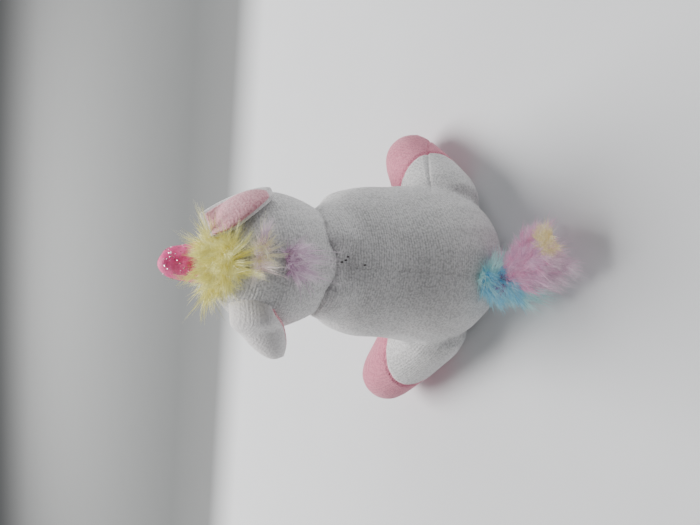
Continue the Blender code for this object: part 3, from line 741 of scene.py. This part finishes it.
def ear_frame(side):
    """Z along the ear, -Y towards its lining, X across it."""
    root, along, lining_side = EAR_PLACES[side]
    along = along.normalized()
    across = (-lining_side).cross(along).normalized()
    frame = Matrix((across, along.cross(across), along)).transposed().to_4x4()
    frame.translation = root
    return frame


def ear_point(frame, across, along, scale, shift, lift):
    """A point in the middle of the leaf's thickness, and its height above the ear's root."""
    taper = EAR_ROOT_TAPER + (EAR_TIP_TAPER - EAR_ROOT_TAPER) * along
    width = EAR_HALF_WIDTH * scale * math.sin(math.pi * taper) ** EAR_BLUNTNESS
    cup = EAR_CUP * (across * across - EAR_CUP_REST) * min(1, width / EAR_HALF_WIDTH)
    height = (EAR_LENGTH + EAR_SINK) * (0.5 + (along - 0.5) * scale) - EAR_SINK
    curl = EAR_CURL * (height / EAR_LENGTH) ** 2
    return frame @ Vector((across * width + shift, -lift - cup - curl, height)), height


def ear_sheet(side, face_side, thickness, clearance, head_surface, **shape):
    """One face of the leaf: in front of its middle for -1, behind it for 1."""
    frame = ear_frame(side)
    outward = frame.to_3x3() @ Vector((0, 1, 0))
    sheet = bmesh.new()
    bmesh.ops.create_grid(sheet, x_segments=EAR_SEGMENTS[0], y_segments=EAR_SEGMENTS[1], size=1)
    for vert in sheet.verts:
        across, lengthwise = vert.co.xy
        point, height = ear_point(frame, across, (lengthwise + 1) / 2, **shape)
        if height > 0:
            free = push_out(point, head_surface, clearance)
            point = point.lerp(free, min(1, height / EAR_SINK))
        plump = math.sqrt(max(0, (1 - across ** EAR_ROUNDING) * (1 - lengthwise ** EAR_ROUNDING)))
        vert.co = point + outward * face_side * plump * thickness / 2
    if face_side < 0:
        bmesh.ops.reverse_faces(sheet, faces=sheet.faces)
    mesh = bpy.data.meshes.new("ear_sheet")
    sheet.to_mesh(mesh)
    sheet.free()
    return mesh


def ear_leaf(name, side, material, **shape):
    """A cupped pillow of a leaf whose root end runs into the head and whose rest lies on it."""
    form = bmesh.new()
    for face_side in (-1, 1):
        mesh = ear_sheet(side, face_side, **shape)
        form.from_mesh(mesh)
        bpy.data.meshes.remove(mesh)
    bmesh.ops.remove_doubles(form, verts=form.verts, dist=EAR_MERGE)
    bmesh.ops.recalc_face_normals(form, faces=form.faces)
    piece = form_piece(name, form, material)
    subdivide(piece)
    return piece


def make_ear(side, material, lining_material, head_surface):
    """A soft ear of two layers: white velour, and a pink lining inside its rolled rim."""
    thickness = EAR_THICKNESS[side]
    lift = LINING_LIFT * thickness
    if LINING_OUTSIDE[side]:
        back_clearance = EAR_CLEARANCE + thickness / 2
        lining_clearance = back_clearance + lift
    else:
        lining_clearance = EAR_CLEARANCE + LINING_THICKNESS / 2
        back_clearance = lining_clearance + lift
    back = ear_leaf(
        f"ear_{side}_velour", side, material, scale=1.0, shift=0.0, lift=0.0, thickness=thickness,
        clearance=back_clearance, head_surface=head_surface)
    inner = ear_leaf(
        f"ear_{side}_pink", side, lining_material, scale=LINING_SCALE[side], shift=LINING_SHIFT[side],
        lift=lift, thickness=LINING_THICKNESS, clearance=lining_clearance, head_surface=head_surface)
    for piece, slot, node in ((back, "white_velour", "back"), (inner, "ear_lining", "lining")):
        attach(piece, f"ear_{side}")
        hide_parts(f"ear_{side}_{node}")


def make_horn(material, flake_material):
    """The stubby glitter horn and the loose flakes on its print."""
    horn = skin("horn_skin", node_names("horn_"), HORN_SKIN, material)
    subdivide(horn)
    points = points_of(horn)
    lumps = np.array([noise.noise(Vector(point) * HORN_LUMP_SCALE) for point in points])
    set_points(horn, points + normals_of(horn) * (HORN_PLUMP + lumps[:, None] * HORN_LUMPS))
    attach(horn, "horn")
    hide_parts("horn_cover", "horn_stuffing")
    flakes = scatter_flakes(horn, flake_material)
    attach(flakes, "horn")


def scatter_flakes(horn, material):
    """Six-sided glitter flakes lying at random tilts on the horn."""
    draw = random.Random(11)
    form = bmesh.new()
    layer = form.verts.layers.float_color.new("strand_colour")
    faces = horn.data.polygons
    for _ in range(FLAKES):
        face = faces[draw.randrange(len(faces))]
        tilt = Vector([draw.gauss(0, FLAKE_TILT) for _ in range(3)])
        normal = (face.normal + tilt).normalized()
        side = normal.orthogonal().normalized()
        other = normal.cross(side)
        size = draw.uniform(*FLAKE_SIZE) * MM
        centre = face.center + face.normal * FLAKE_LIFT
        colour = FOILS[draw.randrange(len(FOILS))]
        ring = []
        for corner in range(FLAKE_CORNERS):
            angle = math.tau * corner / FLAKE_CORNERS
            vert = form.verts.new(centre + (side * math.cos(angle) + other * math.sin(angle)) * size)
            vert[layer] = (*colour, 1)
            ring.append(vert)
        form.faces.new(ring)
    return form_piece("horn_flakes", form, material, smooth=False)


# --- fur -------------------------------------------------------------------------------------

def surface_of(*pieces):
    """A search tree over the pieces' surfaces."""
    points = []
    faces = []
    for piece in pieces:
        base = len(points)
        points += [vert.co.copy() for vert in piece.data.vertices]
        faces += [[base + index for index in face.vertices] for face in piece.data.polygons]
    return BVHTree.FromPolygons(points, faces)


def strand_path(root, direction, sag, length, wiggle, draw, steps):
    """Points of one hair guide: it leaves along its direction and bends towards its sag."""
    phase = Vector([draw.uniform(-1, 1) for _ in range(3)])
    path = []
    for step in range(steps + 1):
        t = step / steps
        point = root + (direction * t + sag * t * t) * length
        point += phase.cross(direction) * math.sin(t * WAVE_TURNS) * wiggle
        path.append(point)
    return path


def push_out(point, surface, clearance):
    """Moves a point that lies in the cloth back out of it."""
    near, normal, _, distance = surface.find_nearest(point)
    depth = (point - near).dot(normal)
    if depth < clearance and distance < PUSH_REACH:
        return point + normal * (clearance - depth)
    return point


def add_ribbon(form, layer, path, width, facing, colours):
    """A flat hair that tapers to a point, coloured from root to tip."""
    last = None
    steps = len(path) - 1
    for step, point in enumerate(path):
        ahead = path[min(step + 1, steps)] - path[max(step - 1, 0)]
        side = ahead.cross(facing).normalized()
        t = step / steps
        half = 0.5 * width * (1 - t) ** HAIR_TAPER + HAIR_TIP
        tone = [a + (b - a) * t for a, b in zip(*colours)]
        pair = []
        for offset in (-half, half):
            vert = form.verts.new(point + side * offset)
            vert[layer] = (*tone, 1)
            pair.append(vert)
        if last:
            form.faces.new((last[0], pair[0], pair[1], last[1]))
        last = pair


def grow_fur(name, locks, surface, material, seed):
    """Fur from lock recipes: each lock is a guide and hairs that gather towards its tip."""
    draw = random.Random(seed)
    form = bmesh.new()
    layer = form.verts.layers.float_color.new("strand_colour")
    for lock in locks:
        guide = strand_path(
            lock["root"], lock["direction"], lock["sag"], lock["length"], lock["wiggle"], draw, LOCK_STEPS)
        guide = [guide[0]] + [push_out(point, surface, FUR_CLEARANCE) for point in guide[1:]]
        for _ in range(lock["hairs"]):
            spread = Vector([draw.gauss(0, lock["spread"]) for _ in range(3)])
            reach = draw.uniform(*HAIR_REACH)
            stray = Vector([draw.gauss(0, lock["stray"]) for _ in range(3)])
            path = []
            for step, point in enumerate(guide):
                t = step / LOCK_STEPS
                along = guide[0].lerp(point, reach) if step else point
                path.append(along + spread * (1 - LOCK_GATHER * t) + stray * t * t)
            facing = lock["outward"] + Vector([draw.gauss(0, HAIR_TURN) for _ in range(3)])
            shade = draw.uniform(*HAIR_SHADE)
            tip = [min(1.0, part * shade) for part in lock["tip"]]
            base = [part * shade for part in lock["base"]]
            width = lock["width"] * draw.uniform(*HAIR_WIDTH)
            add_ribbon(form, layer, path, width, facing, (base, tip))
    for vert in form.verts:
        vert.co.z = max(vert.co.z, FLOOR_CLEARANCE)
    return form_piece(name, form, material)


def make_lock(draw, root, direction, sag, outward, style):
    """One lock's recipe; its colour, length and wave are drawn at random."""
    base, tip = style["colours"][draw.randrange(len(style["colours"]))]
    return {
        "root": root, "direction": direction.normalized(), "sag": sag, "outward": outward,
        "length": draw.uniform(*style["length"]), "wiggle": draw.uniform(*style["wiggle"]) * MM,
        "hairs": style["hairs"], "spread": style["spread"], "stray": style["stray"],
        "width": style["width"], "base": base, "tip": tip,
    }


def patch_locks(draw, centre, radii, up, count, surface, **style):
    """Locks rooted over an oval patch and combed outwards from its middle."""
    locks = []
    for _ in range(count):
        angle = draw.uniform(0, math.tau)
        reach = math.sqrt(draw.random())
        offset = Vector((math.cos(angle) * radii[0], math.sin(angle) * radii[1], 0)) * reach
        start = centre + offset + up * DROP_HEIGHT
        hit, normal, _, _ = surface.ray_cast(start, -up)
        if hit is None:
            continue
        outward = offset / max(radii)
        direction = normal * style["lift"] + outward * style["fan"] + style["comb"]
        direction += Vector([draw.gauss(0, style["chaos"]) for _ in range(3)])
        sag = outward * style["fan"] * PATCH_SPLAY + style["fall"]
        sag += Vector([draw.gauss(0, style["chaos"]) for _ in range(3)])
        facing = (normal + outward).normalized()
        locks.append(make_lock(draw, hit, direction, sag, facing, {**style, **MANE_HAIR}))
    return locks


YELLOW = [((0.84, 0.73, 0.09), (0.97, 0.94, 0.40)), ((0.90, 0.82, 0.16), (0.98, 0.97, 0.54)),
          ((0.76, 0.66, 0.10), (0.95, 0.92, 0.46))]
CREAM = [((0.86, 0.76, 0.50), (0.97, 0.93, 0.74)), ((0.86, 0.68, 0.66), (0.97, 0.88, 0.86))]
LILAC = [((0.42, 0.22, 0.38), (0.86, 0.70, 0.83)), ((0.56, 0.32, 0.50), (0.95, 0.86, 0.93))]
TEAL = [((0.42, 0.70, 0.56), (0.74, 0.90, 0.74))]
ORANGE = [((0.92, 0.40, 0.22), (0.97, 0.70, 0.45))]
BLUE = [((0.10, 0.44, 0.70), (0.42, 0.80, 0.92)), ((0.20, 0.60, 0.76), (0.58, 0.88, 0.92))]
TEAL_BLUE = [((0.34, 0.70, 0.74), (0.70, 0.90, 0.88))]
TAIL_PINK = [((0.84, 0.34, 0.58), (0.94, 0.66, 0.82)), ((0.74, 0.38, 0.60), (0.90, 0.70, 0.84))]
TAIL_LILAC = [((0.52, 0.32, 0.46), (0.86, 0.72, 0.80))]
MAGENTA = [((0.26, 0.02, 0.20), (0.45, 0.10, 0.36))]
TAIL_YELLOW = [((0.92, 0.76, 0.40), (0.97, 0.90, 0.66))]


def make_mane(head, material):
    """Crown of yellow fur behind the horn, a cream part and a lilac tuft on the nape."""
    surface = surface_of(head)
    draw = random.Random(3)
    up = Vector((0, 0.15, 1)).normalized()
    nape_up = Vector((0, 0.9, 0.45)).normalized()
    crown = patch_locks(
        draw, at(0, -4, 139), (9 * MM, 10.5 * MM), up, 320, surface, lift=0.45, fan=0.55, chaos=0.5,
        comb=Vector((0.12, 0.1, 0)), fall=Vector((0, 0, -0.15)), colours=YELLOW, length=(5 * MM, 10.5 * MM),
        hairs=26)
    crown += patch_locks(
        draw, at(8, -12, 139), (4 * MM, 5 * MM), up, 26, surface, lift=0.55, fan=0.2, chaos=0.2,
        comb=Vector((0.75, -0.55, 0)), fall=Vector((0.2, 0, -0.3)), colours=YELLOW,
        length=(12 * MM, 18 * MM), hairs=8)
    crown += patch_locks(
        draw, at(3, -16, 139), (7 * MM, 4 * MM), up, 46, surface, lift=0.7, fan=0.5, chaos=0.3,
        comb=Vector((0.25, -0.55, 0)), fall=Vector((0.1, -0.2, -0.2)), colours=YELLOW + ORANGE + TEAL,
        length=(6 * MM, 10 * MM), hairs=12)
    crown_fur = grow_fur("mane_crown", crown, surface, material, 5)
    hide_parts("mane_crown_fur")

    nape = patch_locks(
        draw, at(-5, 13, 130), (6 * MM, 4 * MM), nape_up, 56, surface, lift=0.4, fan=0.5, chaos=0.4,
        comb=Vector((-0.1, 0.1, -0.1)), fall=Vector((0, 0, -0.3)), colours=CREAM,
        length=(4 * MM, 8 * MM), hairs=16)
    nape += patch_locks(
        draw, at(-3, 20, 120), (4.5 * MM, 4 * MM), nape_up, 50, surface, lift=0.3, fan=0.45, chaos=0.34,
        comb=Vector((-0.05, 0.0, -0.35)), fall=Vector((0, 0.05, -0.3)), colours=LILAC,
        length=(5 * MM, 9 * MM), hairs=18)
    nape += patch_locks(
        draw, at(-3, 20, 119), (5 * MM, 3 * MM), nape_up, 16, surface, lift=0.3, fan=0.4, chaos=0.3,
        comb=Vector((0.1, 0.0, -0.7)), fall=Vector((0, 0.05, -0.2)), colours=LILAC,
        length=(11 * MM, 15 * MM), hairs=7)
    nape += patch_locks(
        draw, at(-9, 13, 129), (2 * MM, 2 * MM), nape_up, 4, surface, lift=0.35, fan=0.1, chaos=0.08,
        comb=Vector((-0.8, 0.1, -0.1)), fall=Vector((-0.2, 0, -0.1)), colours=LILAC,
        length=(9 * MM, 12 * MM), hairs=18)
    nape_fur = grow_fur("mane_nape", nape, surface, material, 6)
    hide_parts("mane_nape_fur")
    for piece in (crown_fur, nape_fur):
        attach(piece, "head")


def line_locks(draw, start, end, radius, count, **style):
    """Locks rooted around a core from start to end, combed away from it."""
    along = (end - start).normalized()
    locks = []
    for _ in range(count):
        place = draw.random()
        around = Vector([draw.gauss(0, 1) for _ in range(3)])
        around = (around - along * around.dot(along)).normalized()
        if around.z < LINE_LOWEST:
            around.z = -around.z
        root = start.lerp(end, place) + around * radius * draw.uniform(*LINE_DEPTH)
        direction = around * style["lift"] + style["comb"]
        direction += Vector([draw.gauss(0, style["chaos"]) for _ in range(3)])
        lock_style = {**style, **TAIL_HAIR}
        locks.append(make_lock(draw, root, direction, style["fall"], around, lock_style))
    return locks


def make_tail(material):
    """Blue fur at the root, pink and lilac beyond the bend and a pale yellow tip."""
    floor = floor_surface()
    draw = random.Random(9)
    root = line_locks(
        draw, at(0, 43, 30), at(3, 52, 18), 4 * MM, 120, lift=0.55, comb=Vector((0.62, 0.25, -0.15)),
        chaos=0.32, fall=Vector((0.2, 0.1, -0.4)), colours=BLUE, length=(7 * MM, 12 * MM), hairs=24)
    root += line_locks(
        draw, at(0, 43, 33), at(0, 46, 28), 2 * MM, 22, lift=0.5, comb=Vector((0.2, 0.1, 0.45)),
        chaos=0.2, fall=Vector((0.1, 0.0, -0.2)), colours=TEAL_BLUE, length=(6 * MM, 10 * MM), hairs=16)
    root += line_locks(
        draw, at(-1, 46, 30), at(-2, 49, 27), 2 * MM, 12, lift=0.3, comb=Vector((-0.75, 0.3, 0.15)),
        chaos=0.15, fall=Vector((-0.1, 0.1, -0.1)), colours=TEAL_BLUE, length=(7 * MM, 11 * MM), hairs=12)
    root += line_locks(
        draw, at(5, 51, 15), at(8, 53, 12), 3 * MM, 26, lift=0.4, comb=Vector((0.15, 0.8, -0.1)),
        chaos=0.22, fall=Vector((0, 0.2, -0.25)), colours=TEAL_BLUE, length=(9 * MM, 14 * MM), hairs=16)
    blue = grow_fur("tail_blue", root, floor, material, 7)
    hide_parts("tail_fur_blue", "tail_core_root")
    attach(blue, "tail_root")

    end = line_locks(
        draw, at(-1, 52, 19), at(-16, 64, 15), 6 * MM, 320, lift=0.7, comb=Vector((-0.3, 0.45, 0.1)),
        chaos=0.3, fall=Vector((-0.1, 0.2, -0.3)), colours=TAIL_PINK, length=(8 * MM, 14 * MM), hairs=24)
    end += line_locks(
        draw, at(1, 56, 13), at(-13, 67, 12), 5 * MM, 90, lift=0.6, comb=Vector((0.05, 0.8, 0.0)),
        chaos=0.26, fall=Vector((0, 0.2, -0.3)), colours=TAIL_LILAC, length=(9 * MM, 15 * MM), hairs=18)
    end += line_locks(
        draw, at(1.5, 51, 25), at(2.5, 52.5, 24), 1.6 * MM, 22, lift=0.7, comb=Vector((0.1, 0.3, 0.5)),
        chaos=0.25, fall=Vector((0, 0.1, -0.2)), colours=MAGENTA, length=(4 * MM, 7 * MM), hairs=20)
    pink = grow_fur("tail_pink", end, floor, material, 8)
    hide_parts("tail_fur_pink", "tail_core_end")
    tip = line_locks(
        draw, at(-17, 67, 18), at(-20, 70, 19), 4.2 * MM, 120, lift=0.6, comb=Vector((-0.1, 0.15, 0.5)),
        chaos=0.25, fall=Vector((0, 0.1, -0.2)), colours=TAIL_YELLOW, length=(4 * MM, 8 * MM), hairs=22)
    yellow = grow_fur("tail_yellow", tip, floor, material, 10)
    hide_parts("tail_fur_yellow")
    for piece in (pink, yellow):
        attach(piece, "tail_end")


def floor_surface():
    """A search tree over one square of the floor, a metre each way."""
    corners = [Vector((x, y, 0)) for x, y in ((-1, -1), (1, -1), (1, 1), (-1, 1))]
    return BVHTree.FromPolygons(corners, [(0, 1, 2, 3)])


# --- small parts -----------------------------------------------------------------------------

def add_bead(form, surface, place, lift, shape, lean=None):
    """A flattened bead on the cloth; a lean turns its long side within the cloth."""
    hit, normal, _, _ = surface.find_nearest(at(*place))
    turn = normal.to_track_quat("Z", "Y").to_matrix().to_4x4()
    if lean is not None:
        across = Vector((1, 0, lean)).cross(normal).cross(normal).normalized()
        turn = turn @ Matrix.Rotation(math.atan2(across.z, across.x), 4, "Z")
    size = Matrix.Diagonal([part * MM for part in shape] + [1])
    matrix = Matrix.Translation(hit + normal * lift) @ turn @ size
    bmesh.ops.create_icosphere(form, subdivisions=2, radius=1, matrix=matrix)


def make_closing(surface, material, hole_shade_material):
    """Where the back was closed by hand: needle holes, drawn as near-black beads of painted shade, and short
    stitches across the seam.
    """
    form = bmesh.new()
    length, width, depth = HOLE_SHAPE
    for place, scale in NEEDLE_HOLES:
        add_bead(form, surface, place, -HOLE_DEPTH, (length * scale, width * scale, depth))
    holes = form_piece("closing_hole_shades", form, hole_shade_material)
    form = bmesh.new()
    for place, lean in STITCHES:
        add_bead(form, surface, place, STITCH_HEIGHT, STITCH_SHAPE, lean)
    stitches = form_piece("closing_stitches", form, material)
    for piece in (holes, stitches):
        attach(piece, "torso")
    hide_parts("back_closing_thread")


def dress_cad_nodes(materials):
    """Better finishes on the CAD nodes whose shape is kept."""
    for name, node in NODES.items():
        for start, material in materials.items():
            if name.startswith(start):
                node.data.materials.clear()
                node.data.materials.append(material)


# --- stage -----------------------------------------------------------------------------------

FLOOR_REACH = 6
FLOOR_DROP = 0.05 * MM
# Floor Y band, in metres, over which the painted shade of the far wall runs
FAR_BAND = (-1.3, 0.2)

# Lights: name, place, size in metres, power in watts, colour
LIGHT_TARGET = at(0, 0, 60)
LIGHTS = (
    ("window", at(200, -850, 1150), 0.9, 37, (1.0, 0.985, 0.975)),
    ("left_fill", at(800, -150, 350), 0.7, 2.4, (1.0, 0.99, 0.98)),
    ("right_fill", at(-800, -150, 350), 0.7, 4.0, (0.98, 0.99, 1.0)),
)
ROOM_COLOUR = (0.93, 0.95, 1.0, 1)
ROOM_STRENGTH = 0.135


def floor_material():
    """A pale floor that turns greyer away from the toy, as a far wall would look: painted shade of a far
    wall.
    """
    material, nodes, links, shader, coords = new_material("pale_floor")
    split = nodes.new("ShaderNodeSeparateXYZ")
    links.new(coords, split.inputs["Vector"])
    reach = nodes.new("ShaderNodeMapRange")
    reach.inputs["From Min"].default_value = FAR_BAND[0]
    reach.inputs["From Max"].default_value = FAR_BAND[1]
    links.new(split.outputs["Y"], reach.inputs["Value"])
    # Painted shade: the floor turns dark grey just beyond the toy and lightens a little further off,
    # standing in for a far wall in shade.
    tone = add_ramp(nodes, links, reach.outputs["Result"], [
        (0.0, (0.42, 0.43, 0.43)), (0.70, (0.78, 0.795, 0.81)), (0.60, (0.165, 0.172, 0.172)),
        (0.665, (0.21, 0.216, 0.216))])
    grain = add_noise(nodes, links, coords, 30)
    soft = add_ramp(nodes, links, grain, [(0.3, (0.985, 0.985, 0.985)), (0.7, (1, 1, 1))])
    links.new(add_mix(nodes, links, 1.0, tone, soft, "MULTIPLY"), shader.inputs["Base Color"])
    shader.inputs["Roughness"].default_value = 0.9
    shader.inputs["Specular IOR Level"].default_value = 0.1
    return material


def make_stage():
    """The floor, a hair below the toy."""
    form = bmesh.new()
    bmesh.ops.create_grid(form, x_segments=2, y_segments=2, size=FLOOR_REACH)
    floor = form_piece("floor", form, floor_material())
    floor.location.z = -FLOOR_DROP


def area_light(name, place, size, power, colour):
    """A square soft light aimed at the toy."""
    light = bpy.data.lights.new(name, "AREA")
    light.shape = "SQUARE"
    light.size = size
    light.energy = power
    light.color = colour
    holder = bpy.data.objects.new(name, light)
    bpy.context.scene.collection.objects.link(holder)
    aim = (LIGHT_TARGET - place).to_track_quat("-Z", "Y")
    holder.matrix_world = Matrix.Translation(place) @ aim.to_matrix().to_4x4()


def make_lights():
    """The window in front of the toy, two weak fills and the light of the room."""
    for light in LIGHTS:
        area_light(*light)
    world = bpy.data.worlds.new("room")
    bpy.context.scene.world = world
    world.use_nodes = True
    background = world.node_tree.nodes["Background"]
    background.inputs["Color"].default_value = ROOM_COLOUR
    background.inputs["Strength"].default_value = ROOM_STRENGTH


def make_camera():
    """Above and behind the toy, turned on its side so that the head points left."""
    azimuth = math.radians(CAMERA_AZIMUTH)
    elevation = math.radians(CAMERA_ELEVATION)
    back = Vector((math.sin(azimuth) * math.cos(elevation), -math.cos(azimuth) * math.cos(elevation),
                   math.sin(elevation)))
    across = Vector((math.cos(azimuth), math.sin(azimuth), 0))
    upright = back.cross(across)
    camera = bpy.data.cameras.new("camera")
    camera.lens = CAMERA_LENS
    camera.clip_start = 0.01
    holder = bpy.data.objects.new("camera", camera)
    bpy.context.scene.collection.objects.link(holder)
    lying = Matrix((-upright, across, back)).transposed().to_4x4()
    holder.matrix_world = Matrix.Translation(CAMERA_TARGET + back * CAMERA_DISTANCE) @ lying
    bpy.context.scene.camera = holder


# --- scene -----------------------------------------------------------------------------------

make_camera()
make_stage()
make_lights()

white = velour("white_velour_cloth", (0.80, 0.79, 0.785), (0.44, 0.43, 0.43), 0.7)
pink = velour("pink_velour_cloth", (0.75, 0.24, 0.33), (0.48, 0.11, 0.19), 0.7)
# Painted light: the ears' white velour is a lighter copy of the body's white velour, standing in for the
# light that their backs catch.
ear_white_lit = velour("ear_velour_painted_light", (0.90, 0.875, 0.87), (0.66, 0.63, 0.63), 0.6, 0.25)
lining = velour("ear_lining_cloth", (0.92, 0.50, 0.55), (0.66, 0.24, 0.31), 0.8, 0.3)
wadding = velour("wadding", (0.88, 0.88, 0.85), (0.68, 0.68, 0.66), 0.8, 0.2)
pile = fur("long_pile")

make_body(white, pink)
for side in SIDES:
    make_arm(side, white, pink)
make_neck(wadding)
head = make_head(white)
for side in SIDES:
    make_ear(side, ear_white_lit, lining, surface_of(head))
make_horn(glitter_cloth(), flake_foil())
make_mane(head, pile)
make_tail(pile)
halves = surface_of(bpy.data.objects["body_left"], bpy.data.objects["body_right"])
closing_thread = thread("closing_thread_twist", (0.72, 0.70, 0.69))
# Painted shade: the needle holes get a near-black thread colour, standing in for the shade inside each hole.
make_closing(halves, closing_thread, thread("needle_hole_shade", (0.10, 0.09, 0.09)))
dress_cad_nodes({
    "eye_left": eye_gloss(),
    "eye_right": eye_gloss(),
    "eye_washer": washer_plastic(),
    "nostril": thread("nostril_thread", FACE_THREAD),
    "mouth": thread("mouth_thread", FACE_THREAD),
})
